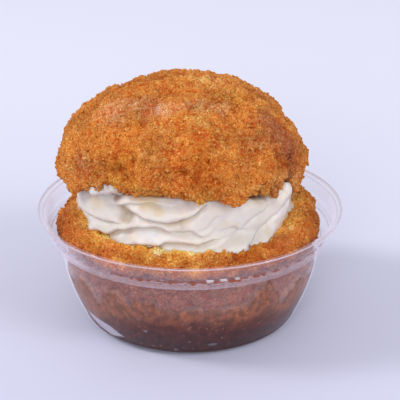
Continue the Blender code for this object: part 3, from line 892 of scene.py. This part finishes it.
def add_smears(crust, even, material):
    """Thin cream on the outside of the cap's lower edge, which sinks into the crust round its
    border. even holds the places and normals of the crust's vertices before its relief."""
    def inside(point):
        nearest = min((point - Vector(middle) * MM).length - width * MM for middle, width in SMEARS)
        return crags(point, 3 * MM, 1.2 * MM) - nearest

    faces = [face.vertices[:] for face in crust.polygons]
    kept = [face for face in faces if max(inside(even[i][0]) for i in face) > -MM]
    used = sorted({i for face in kept for i in face})
    index = {old: new for new, old in enumerate(used)}
    points = []
    for point, normal in (even[i] for i in used):
        share = smooth(-0.6 * MM, 1.4 * MM, inside(point))
        lift = SMEAR_FOOT + (SMEAR_TOP - SMEAR_FOOT) * share + crags(point, 2.2 * MM, 0.3 * MM)
        points.append(point + normal * lift)
    mesh = bpy.data.meshes.new("smears")
    mesh.from_pydata(points, [], [[index[i] for i in face] for face in kept])
    mesh.shade_smooth()
    add_piece("cream_smears", mesh, None, material)


def half_relief(point, normal):
    """The crust's relief, none under the cream and in the syrup, and less at the wall of the cup."""
    move, grain = crumb_relief(point)
    share = smooth(SYRUP_LEVEL - 2 * MM, SYRUP_LEVEL + 4 * MM, point.z)
    if point.z > BODY_TOP:
        share *= smooth(*UNDER_CREAM, math.hypot(point.x, point.y))
    else:
        share *= 0.5
    return move * share, grain


def keep_in_cup(mesh):
    """Moves what reaches into the cup's wall back inside."""
    inside = inset(cup_outside(), CUP_WALL)
    wall = sorted((height, radius) for radius, height in inside if radius > BASE_RADIUS)
    for vert in mesh.vertices:
        if vert.co.z < CUP_HEIGHT - WALL_END:
            beyond = math.hypot(vert.co.x, vert.co.y) / (along(wall, vert.co.z) - WALL_GAP)
            vert.co.xy /= max(1.0, beyond)


def make_lower_half():
    """The cake in the cup and its crumbs."""
    mesh = dense_mesh("lower_half", HALF_VOXEL, HALF_SMOOTHING)
    roughen(mesh, half_relief)
    keep_in_cup(mesh)
    material = crust_material("baba_crumb", HALF_CRUMB, HALF_SKIN, HALF_PATCHES, SOAKED_AND_SHADED_CRUMB)
    half = add_piece("lower_crust", mesh, "lower_half", material)

    def dry(point, normal):
        """Where the crust shows above the syrup and beside the cream."""
        return point.z > BODY_TOP and math.hypot(point.x, point.y) > CRUMBS_FROM

    add_crumbs("lower_crumbs", half, LOWER_CRUMB_COUNT, CRUMB_SIZES, dry, material)


# ------------------------------ cream


CREAM_CENTRE = -1.0 * MM  # along X
CREAM_RADIUS = 36.0 * MM
CREAM_ROUNDING = 1.8 * MM  # how far the side is drawn in at the top
CREAM_TOP_REACH = 33.4 * MM  # beyond this distance from the middle the top keeps its height
RISE_SPAN = (28.0 * MM, 33.0 * MM)  # the tongue rises between these distances from the middle
CREAM_FOOT = (  # how far it spreads on the cut face: degrees from the front, radius in mm
    (-180, 36.0), (-100, 37.0), (-81, 35.6), (-71, 33.6), (-55, 36.8), (-48, 34.9),
    (-29, 37.9), (-18, 35.8), (-7, 37.4), (8, 39.0), (25, 39.8), (38, 39.5),
    (52, 36.6), (64, 34.0), (91, 35.4), (103, 37.4), (180, 36.0),
)
FOOT_SPREAD = 0.3  # share of the height over which the side runs out to the foot
FOOT_DEPTH = 0.8 * MM  # the foot sinks this far into the crust's relief
TONGUE_TURN = 54.5  # the tongue that fills the notch of the cap: degrees from the front
TONGUE_WIDTH = 7.0  # degrees on either side
TONGUE_STEEPNESS = 6
TONGUE_REACH = 3.0 * MM
TONGUE_DEPTH = 3.6 * MM
TONGUE_RISE = 4.7 * MM
CUT_LEVEL = 38.4 * MM  # the height of the cut face
CREAM_PATCHES = (  # middle and half width in mm, then the tint there; many are painted shade or painted light
    # painted shade in the hollow of the side
    ((-20, -31, 47.8), 4.2, (0.58, 0.42, 0.25)),
    # painted shade under the left lobe
    ((-29.5, -22.5, 47.8), 3.6, (0.98, 0.89, 0.75)),
    # painted light on the left lobe
    ((-31, -21.7, 41), 5, (1.1, 1.12, 1.15)),
    # painted light on the right side, which lies in the cap's shade
    ((28.4, -22.2, 41.6), 7, (1.18, 1.24, 1.30)),
    ((-9, -36.5, 50.5), 3, (0.97, 0.88, 0.74)),
    # painted shade in a small pocket
    ((11, -36, 45.5), 2.4, (0.94, 0.86, 0.60)),
    # painted shadow on the cream under the plume on the cap's edge
    ((-22.5, -29.5, 52.8), 3, (0.55, 0.42, 0.34)),
    # painted shade under the cap's edge
    ((-13, -34, 54), 6, (0.95, 0.84, 0.64)),
    # painted light on the lowest lobe
    ((-12, -36, 42), 7, (1.12, 1.16, 1.22)),
    ((-3, -36, 46), 5, (0.94, 0.90, 0.84)),
    # painted light on the tongue, which lies in the cap's shade
    ((31, -21, 49), 7, (1.1, 1.1, 1.1)),
    ((18, -34, 46), 8, (1.0, 1.02, 1.06)),
)
CREAM_BRIGHT = (0.71, 0.66, 0.615)
CREAM_DULL = (0.62, 0.565, 0.512)
CREAM_COLUMNS = 616
CREAM_LEVELS = 72
CREAM_SHARES = (0.0, 0.25, 0.5, 0.75, 0.93)  # of the radius, on the rings of its top and underside
FOLD_FADE = (6, 4)  # degrees beyond and within a fold's ends over which it comes up
FOLD_REACH = 3.2 * MM
FOLD_LIP = 0.45 * MM  # how round the lip of a fold is
FOLD_UNDERCUT = 1.0 * MM
FOLDS = (  # depth in mm, then the lip's course: degrees from the front, height in mm
    (1.5, ((-72, 42.4), (-58, 43.4), (-47, 44.2), (-37, 44.9))),
    (0.9, ((-36, 50.5), (-26, 52.0), (-15, 52.8), (-10, 52.3))),
    (2.4, ((-38, 49.8), (-28, 49.5), (-17, 48.5), (-10, 47.9), (-5, 48.3), (0, 49.2), (10, 52.6))),
    (2.1, ((-56, 38.6), (-44, 40.0), (-33, 43.0), (-22, 45.2), (-14, 46.0), (-8, 44.9))),
    (1.3, ((-2, 44.8), (2, 45.2), (8, 43.3))),
    (0.6, ((7, 45.4), (16, 48.6))),
    (0.7, ((19, 44.7), (23, 44.9), (28, 43.4))),
    (2.0, ((-26, 39.2), (-15, 39.6), (-8, 41.6), (0, 41.6), (7, 41.2), (13, 42.0))),
)
HOLLOW_TURN = -31  # a dip in the cream's side: degrees from the front
HOLLOW_WIDTH = 6  # degrees on either side
HOLLOW_LEVEL = 47.8 * MM
HOLLOW_HEIGHT = 2.4 * MM
HOLLOW_DEPTH = 2.2 * MM
RIDGE_START = (-10, 36)  # the ridges come up between these turns, in degrees from the front
RIDGE_END = (240, 300)  # and go between these
RIDGE_SPACING = 360 / 22
RIDGE_LEAN = 3.3 / MM  # a ridge turns by this many degrees for each mm of height
RIDGE_DEPTH = 0.75 * MM
SIDE_START = (58.5, 63.5)  # the right side lies further in, and lower, from these turns
SIDE_END = (130, 105)  # to these
SIDE_DRAWN_IN = 2.1 * MM
SIDE_LOWERED = 1.2 * MM


def fold_shift(turn, height):
    """How far the folds stand out, how far their lips hang down, and how deep in a crease this is."""
    lift = sag = crease = 0.0
    for depth, course in FOLDS:
        start, end = course[0][0], course[-1][0]
        begun = smooth(start - FOLD_FADE[0], start + FOLD_FADE[1], turn)
        ended = smooth(end - FOLD_FADE[1], end + FOLD_FADE[0], turn)
        shown = begun * (1 - ended) * depth
        above = height - along(course, turn) * MM
        if above > 0:
            round_lip = 1 - 0.65 * math.exp(-above / FOLD_LIP)
            lift += shown * MM * round_lip * math.exp(-((above / FOLD_REACH) ** 1.3))
        else:
            lift -= 0.45 * shown * MM * math.exp(-(((above + 0.6 * FOLD_UNDERCUT) / FOLD_UNDERCUT) ** 2))
            # how deep under a lip, which the cream's colour turns into painted shade
            crease += 0.6 * shown * math.exp(above / FOLD_UNDERCUT)
        sag += 0.15 * shown * MM * math.exp(-((above / FOLD_LIP) ** 2))
    return lift, sag, crease


def ridges_shown(turn):
    """1 where the nozzle's slanting ridges are at their full depth, 0 where there are none."""
    turn = (turn - RIDGE_START[0]) % 360 + RIDGE_START[0]
    return smooth(*RIDGE_START, turn) * (1 - smooth(*RIDGE_END, turn))


def cream_material():
    """Whipped cream: soft and pale, with a randomly warmer tone, painted warm shade in its creases
    and hollows, and painted light where parts of it lie in shade.
    """
    made, nodes = new_material("whipped_cream", 0.38)
    nodes.set(Subsurface_Weight=0.7, Subsurface_Radius=(1.0, 0.7, 0.4), Subsurface_Scale=2.2 * MM,
              Specular_IOR_Level=0.5)
    tone = nodes.mix(nodes.noise(9 * MM), CREAM_DULL, CREAM_BRIGHT)
    warm = nodes.span(nodes.noise(5 * MM, 2, 0.4), 0.55, 0.75, 0.0, 0.6)
    tone = nodes.tint(warm, tone, (0.97, 0.90, 0.76))
    tone = tinted(nodes, tone, CREAM_PATCHES)
    # painted shade: a warm tan darkening in the creases under the folds' lips and between the ridges
    tone = nodes.tint(nodes.span(nodes.attribute("crease"), 0.1, 1.4), tone, (1.0, 0.79, 0.50))
    soft = nodes.bump(nodes.noise(2.2 * MM, 3), 0.25 * MM, 0.6)
    nodes.join(Base_Color=tone, Normal=nodes.bump(nodes.noise(0.5 * MM), 0.05 * MM, 0.5, soft))
    return made


def upper_side(node, lift):
    """A function that gives the height of the CAD node's upper side at a place in plan."""
    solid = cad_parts[node].data
    tree = BVHTree.FromPolygons([v.co for v in solid.vertices], [p.vertices for p in solid.polygons])

    def height(x, y):
        """The higher of two casts a hair apart, as one that meets an edge can slip through."""
        starts = [Vector((x + side, y, 100 * MM)) for side in (0, 0.1 * MM)]
        casts = [tree.ray_cast(start, Vector((0, 0, -1)))[0] for start in starts]
        return max(found.z for found in casts if found) + lift

    return height


def in_tongue(turn):
    """1 at the tongue's turn, 0 away from it."""
    return math.exp(-(((turn - TONGUE_TURN) / TONGUE_WIDTH) ** TONGUE_STEEPNESS))


def at_side(turn):
    """1 on the right side that is drawn in, 0 elsewhere."""
    return smooth(*SIDE_START, turn) * smooth(*SIDE_END, turn)


def make_cream(material):
    """The cream between the CAD cream's top and the cut face, with its folds, ridges and tongue."""
    top, floor = upper_side("cream", 0.0), upper_side("lower_half", -FOOT_DEPTH)

    def ceiling(x, y):
        """Height of the cream's top: that of the solid, held inside its edge, and the tongue."""
        plan = Vector((x - CREAM_CENTRE, y))
        turn = from_front(*plan)
        reach = CREAM_TOP_REACH + TONGUE_REACH * in_tongue(turn)
        if plan.length > reach:
            plan *= reach / plan.length
        change = TONGUE_RISE * in_tongue(turn) - SIDE_LOWERED * at_side(turn)
        return top(plan.x + CREAM_CENTRE, plan.y) + change * smooth(*RISE_SPAN, plan.length)

    def room(x, y):
        """Height of the cream's side in this direction."""
        return ceiling(CREAM_CENTRE + x * CREAM_RADIUS, y * CREAM_RADIUS) - CUT_LEVEL

    line = [(share, 0.0) for share in CREAM_SHARES]
    line += [(1.0, level / CREAM_LEVELS) for level in range(CREAM_LEVELS + 1)]
    line += [(share, 1.0) for share in reversed(CREAM_SHARES)]
    creases = []

    def place(x, y, ring):
        inward, share = line[ring]
        start = from_front(x, y)
        turn = start + ridges_shown(start) * RIDGE_LEAN * room(x, y) * (share - 0.5)
        x, y = math.sin(math.radians(turn)), -math.cos(math.radians(turn))
        height = room(x, y)
        radius = CREAM_RADIUS - CREAM_ROUNDING * max(0.0, 2 * share - 1) ** 3
        radius -= SIDE_DRAWN_IN * at_side(turn)
        spot = Vector((x * radius, y * radius, height * share))
        wander = 1.6 * noise.noise(spot / (6 * MM)) + 0.8 * noise.noise(spot / (2.5 * MM))
        level = CUT_LEVEL + height * share
        lift, sag, crease = fold_shift(turn + wander, level + 0.3 * MM * noise.noise(spot / (3 * MM)))
        aside = (turn - HOLLOW_TURN) / HOLLOW_WIDTH
        above = (level - HOLLOW_LEVEL) / HOLLOW_HEIGHT
        lift -= HOLLOW_DEPTH * math.exp(-aside * aside - above * above)
        phase = math.pi * (start + 1.2 * wander) / RIDGE_SPACING
        ridge = abs(math.sin(phase)) ** 0.7
        # deeper in a crease between the ridges, which the cream's colour turns into painted shade
        crease += 0.25 * ridges_shown(start) * max(0.0, 0.45 - ridge)
        lift += ridges_shown(start) * RIDGE_DEPTH * (ridge - 0.6) + crags(spot, 6 * MM, 0.45 * MM)
        lift += in_tongue(turn) * TONGUE_DEPTH * smooth(0, 1, share)
        foot = (along(CREAM_FOOT, turn) + 0.6 * noise.noise(spot / (2.2 * MM))) * MM
        radius += (foot - radius) * (1 - smooth(0, FOOT_SPREAD, share))
        radius = inward * (radius + smooth(0, 4 * MM, height) * smooth(-0.1, 0.15, share) * lift)
        across, depth = CREAM_CENTRE + x * radius, y * radius
        low = floor(across, depth)
        free = min(1.0, 4 * share) * min(1.0, 4 * (1 - share))
        creases.append(crease)
        return Vector((across, depth, low + (ceiling(across, depth) - low) * share - sag * free))

    mesh = sphere_mesh("cream", CREAM_COLUMNS, len(line) - 1, place)
    add_values(mesh, crease=creases)
    add_piece("piped_cream", mesh, "cream", material)


# ------------------------------ put together


noise.seed_set(NOISE_SEED)
bpy.context.scene.view_settings.view_transform = "Standard"
add_camera()
add_world()
add_floor()
for light in LIGHTS:
    add_light(*light)
make_cup()
make_syrup()
make_lower_half()
whipped_cream = cream_material()
make_cap(whipped_cream)
make_cream(whipped_cream)
